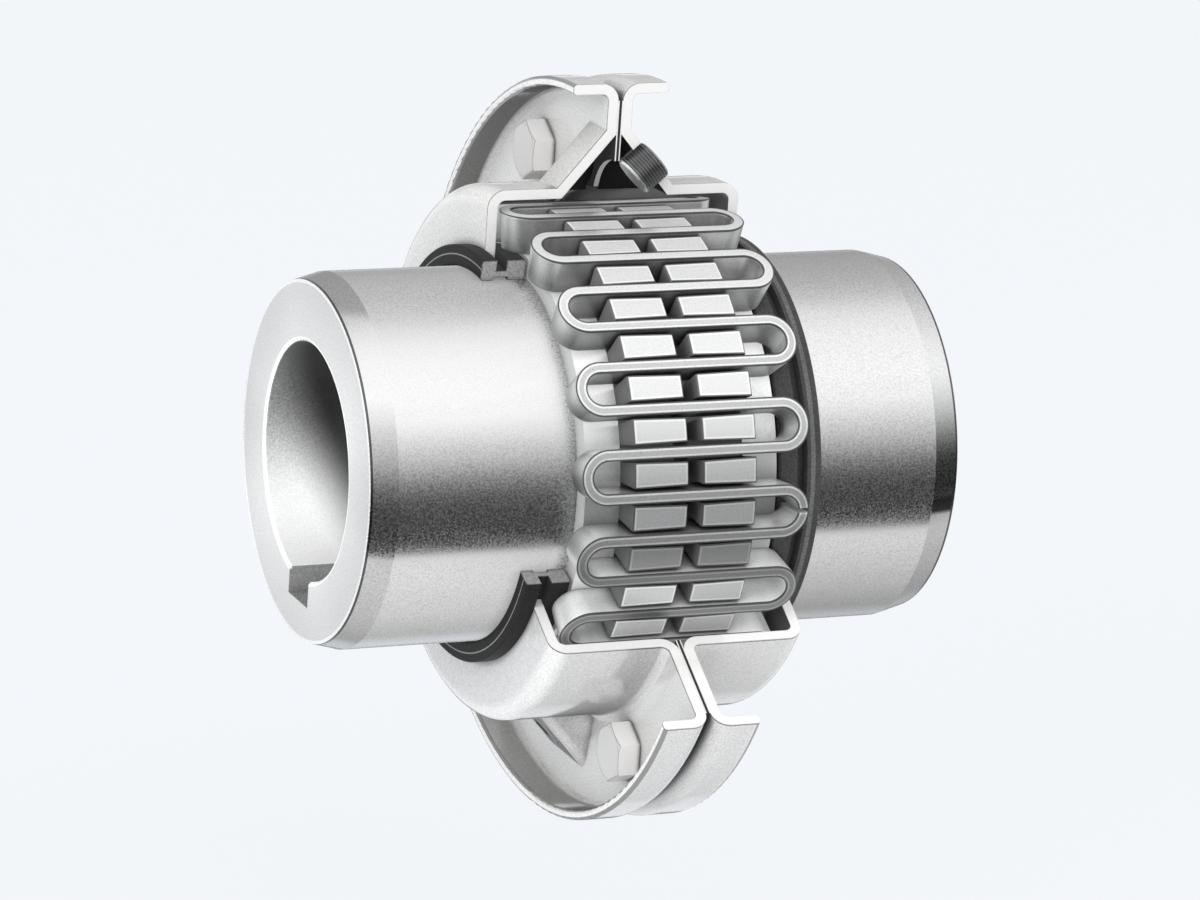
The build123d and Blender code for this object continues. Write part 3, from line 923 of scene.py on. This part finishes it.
corner_signs = ((-1, -1), (1, -1), (1, 1), (-1, 1))
corners = [(x * FLOOR_HALF, y * FLOOR_HALF, FLOOR_Z) for x, y in corner_signs]
floor = mesh_object("floor", corners, [(0, 1, 2, 3)], floor_material())
floor.visible_glossy = False
studio_world()


# Lamps, which no reflection shows, because the tent below is what metal reflects
def aimed_lamp(name, kind, place, aim, power):
    """A lamp at a place, turned towards its aim and hidden from camera and reflections."""
    lamp = bpy.data.lights.new(name, kind)
    lamp.energy = power
    holder = bpy.data.objects.new(name, lamp)
    holder.location = place
    holder.rotation_euler = (Vector(aim) - Vector(place)).to_track_quat("-Z", "Y").to_euler()
    holder.visible_camera = False
    holder.visible_glossy = False
    bpy.context.scene.collection.objects.link(holder)
    return lamp


def soft_lamp(name, place, size, power):
    """A large soft lamp that faces the object."""
    lamp = aimed_lamp(name, "AREA", place, (0.0, 0.0, 0.0), power)
    lamp.shape = "RECTANGLE"
    lamp.size, lamp.size_y = size


soft_lamp("key_lamp", place=(0.5, -1.5, 2.2), size=(4.0, 1.7), power=28.0)
soft_lamp("side_lamp", place=(-2.4, -1.4, 1.0), size=(1.6, 1.6), power=34.0)

BORE_LAMP_PLACE = (-1.4, -0.9, 0.62)
BORE_LAMP_POWER = 168.0
BORE_LAMP_SIZE = 0.02
BORE_LAMP_BLEND = 0.6
BORE_LAMP_FILL = 0.95


def bore_lamp():
    """A narrow lamp that shines into the left bore."""
    aim = Vector((-HUB_HALF, 0.0, 0.0))
    lamp = aimed_lamp("bore_lamp", "SPOT", BORE_LAMP_PLACE, aim, BORE_LAMP_POWER)
    lamp.shadow_soft_size = BORE_LAMP_SIZE
    lamp.spot_blend = BORE_LAMP_BLEND
    distance = (aim - Vector(BORE_LAMP_PLACE)).length
    lamp.spot_size = 2 * math.atan(BORE_LAMP_FILL * BORE_R / distance)


bore_lamp()

# Light tent and dark card round the shaft line. Angles go from the near side upward, in degrees, and
# each level of the tent is the light that it gives at its angle.
CARD_STEPS = 60
TENT_R = 2.6
TENT_REACH = (-6.0, 6.0)
TENT_LEVELS = (
    (-125, 0.6), (-95, 1.0), (-60, 1.22), (-45, 1.20), (-43, 0.09), (-27, 0.10), (-18, 0.125),
    (-8, 0.20), (1, 0.42), (10, 0.76), (19, 1.02), (28, 1.27), (37, 1.50), (56, 1.56), (76, 1.50),
    (86, 1.42), (98, 1.27), (110, 1.03), (124, 0.88), (141, 0.80), (166, 0.60), (179, 0.45),
)
TENT_ANGLES = (TENT_LEVELS[0][0], TENT_LEVELS[-1][0])
BACK_CARD_R = 2.5
BACK_CARD_ANGLES = (186, 213)
BACK_CARD_REACH = (0.25, 3.0)
BACK_CARD_LEVEL = 0.05


def tent_material():
    """Light whose strength follows the angle round the shaft line."""
    s = Shader("tent_light")
    angle = s.math("ARCTAN2", s.z, s.multiply(s.y, -1.0))
    first, last = TENT_ANGLES
    peak = max(level for _, level in TENT_LEVELS)
    spread = s.ramp(angle, math.radians(first), math.radians(last), 0.0, 1.0)
    ramp = s.node("ShaderNodeValToRGB", Fac=spread)
    stops = ramp.color_ramp.elements
    while len(stops) < len(TENT_LEVELS):
        stops.new(1.0)
    for stop, (at, level) in zip(stops, TENT_LEVELS):
        stop.position = (at - first) / (last - first)
        stop.color = (level / peak, level / peak, level / peak, 1)
    glow = s.node("ShaderNodeEmission", Color=ramp.outputs["Color"], Strength=peak)
    s.tree.links.new(glow.outputs[0], s.output.inputs["Surface"])
    return s.material


def curved_card(name, radius, angles, reach, material):
    """A curved card round the shaft line that only reflections see."""
    first, last = angles
    vertices = []
    for k in range(CARD_STEPS + 1):
        angle = math.radians(first + (last - first) * k / CARD_STEPS)
        for x in reach:
            vertices.append((x, -radius * math.cos(angle), radius * math.sin(angle)))
    faces = [(2 * k, 2 * k + 1, 2 * k + 3, 2 * k + 2) for k in range(CARD_STEPS)]
    card = mesh_object(name, vertices, faces, material)
    for ray in ("camera", "diffuse", "transmission", "volume_scatter", "shadow"):
        setattr(card, "visible_" + ray, False)


def back_card_material():
    """A weak, even glow."""
    material = bpy.data.materials.new("back_card_tone")
    material.use_nodes = True
    tree = material.node_tree
    tree.nodes.clear()
    glow = tree.nodes.new("ShaderNodeEmission")
    glow.inputs["Color"].default_value = (BACK_CARD_LEVEL, BACK_CARD_LEVEL, BACK_CARD_LEVEL, 1)
    output = tree.nodes.new("ShaderNodeOutputMaterial")
    tree.links.new(glow.outputs[0], output.inputs["Surface"])
    return material


curved_card("light_tent", TENT_R, TENT_ANGLES, TENT_REACH, tent_material())

# The card stands behind and below, where only silhouettes reflect it
curved_card("back_card", BACK_CARD_R, BACK_CARD_ANGLES, BACK_CARD_REACH, back_card_material())

# The barrels mirror the light alone, not the pieces beside them
for name in ("cover_left", "cover_right", "seal_left", "seal_right", "grid"):
    frame["nodes"][name].visible_glossy = False

# Camera, at the photograph's viewing angle. The azimuth is counted from the x axis, in degrees.
CAMERA_AZIMUTH = -113.81
CAMERA_ELEVATION = 15.91
CAMERA_ROLL = 3.85
CAMERA_DISTANCE = 1.419
CAMERA_SENSOR = 36.0
CAMERA_LENS = 181.6
CAMERA_SHIFT = (0.00175, -0.0033)

camera_data = bpy.data.cameras.new("camera")
camera_data.sensor_width = CAMERA_SENSOR
camera_data.lens = CAMERA_LENS
camera_data.shift_x, camera_data.shift_y = CAMERA_SHIFT
camera = bpy.data.objects.new("camera", camera_data)
bpy.context.scene.collection.objects.link(camera)
round_object = Matrix.Rotation(math.radians(CAMERA_AZIMUTH + 90), 4, "Z")
upward = Matrix.Rotation(math.radians(90 - CAMERA_ELEVATION), 4, "X")
roll = Matrix.Rotation(math.radians(CAMERA_ROLL), 4, "Z")
backward = Matrix.Translation((0.0, 0.0, CAMERA_DISTANCE))
camera.matrix_world = round_object @ upward @ roll @ backward
bpy.context.scene.camera = camera

bpy.context.scene.view_settings.view_transform = "Standard"
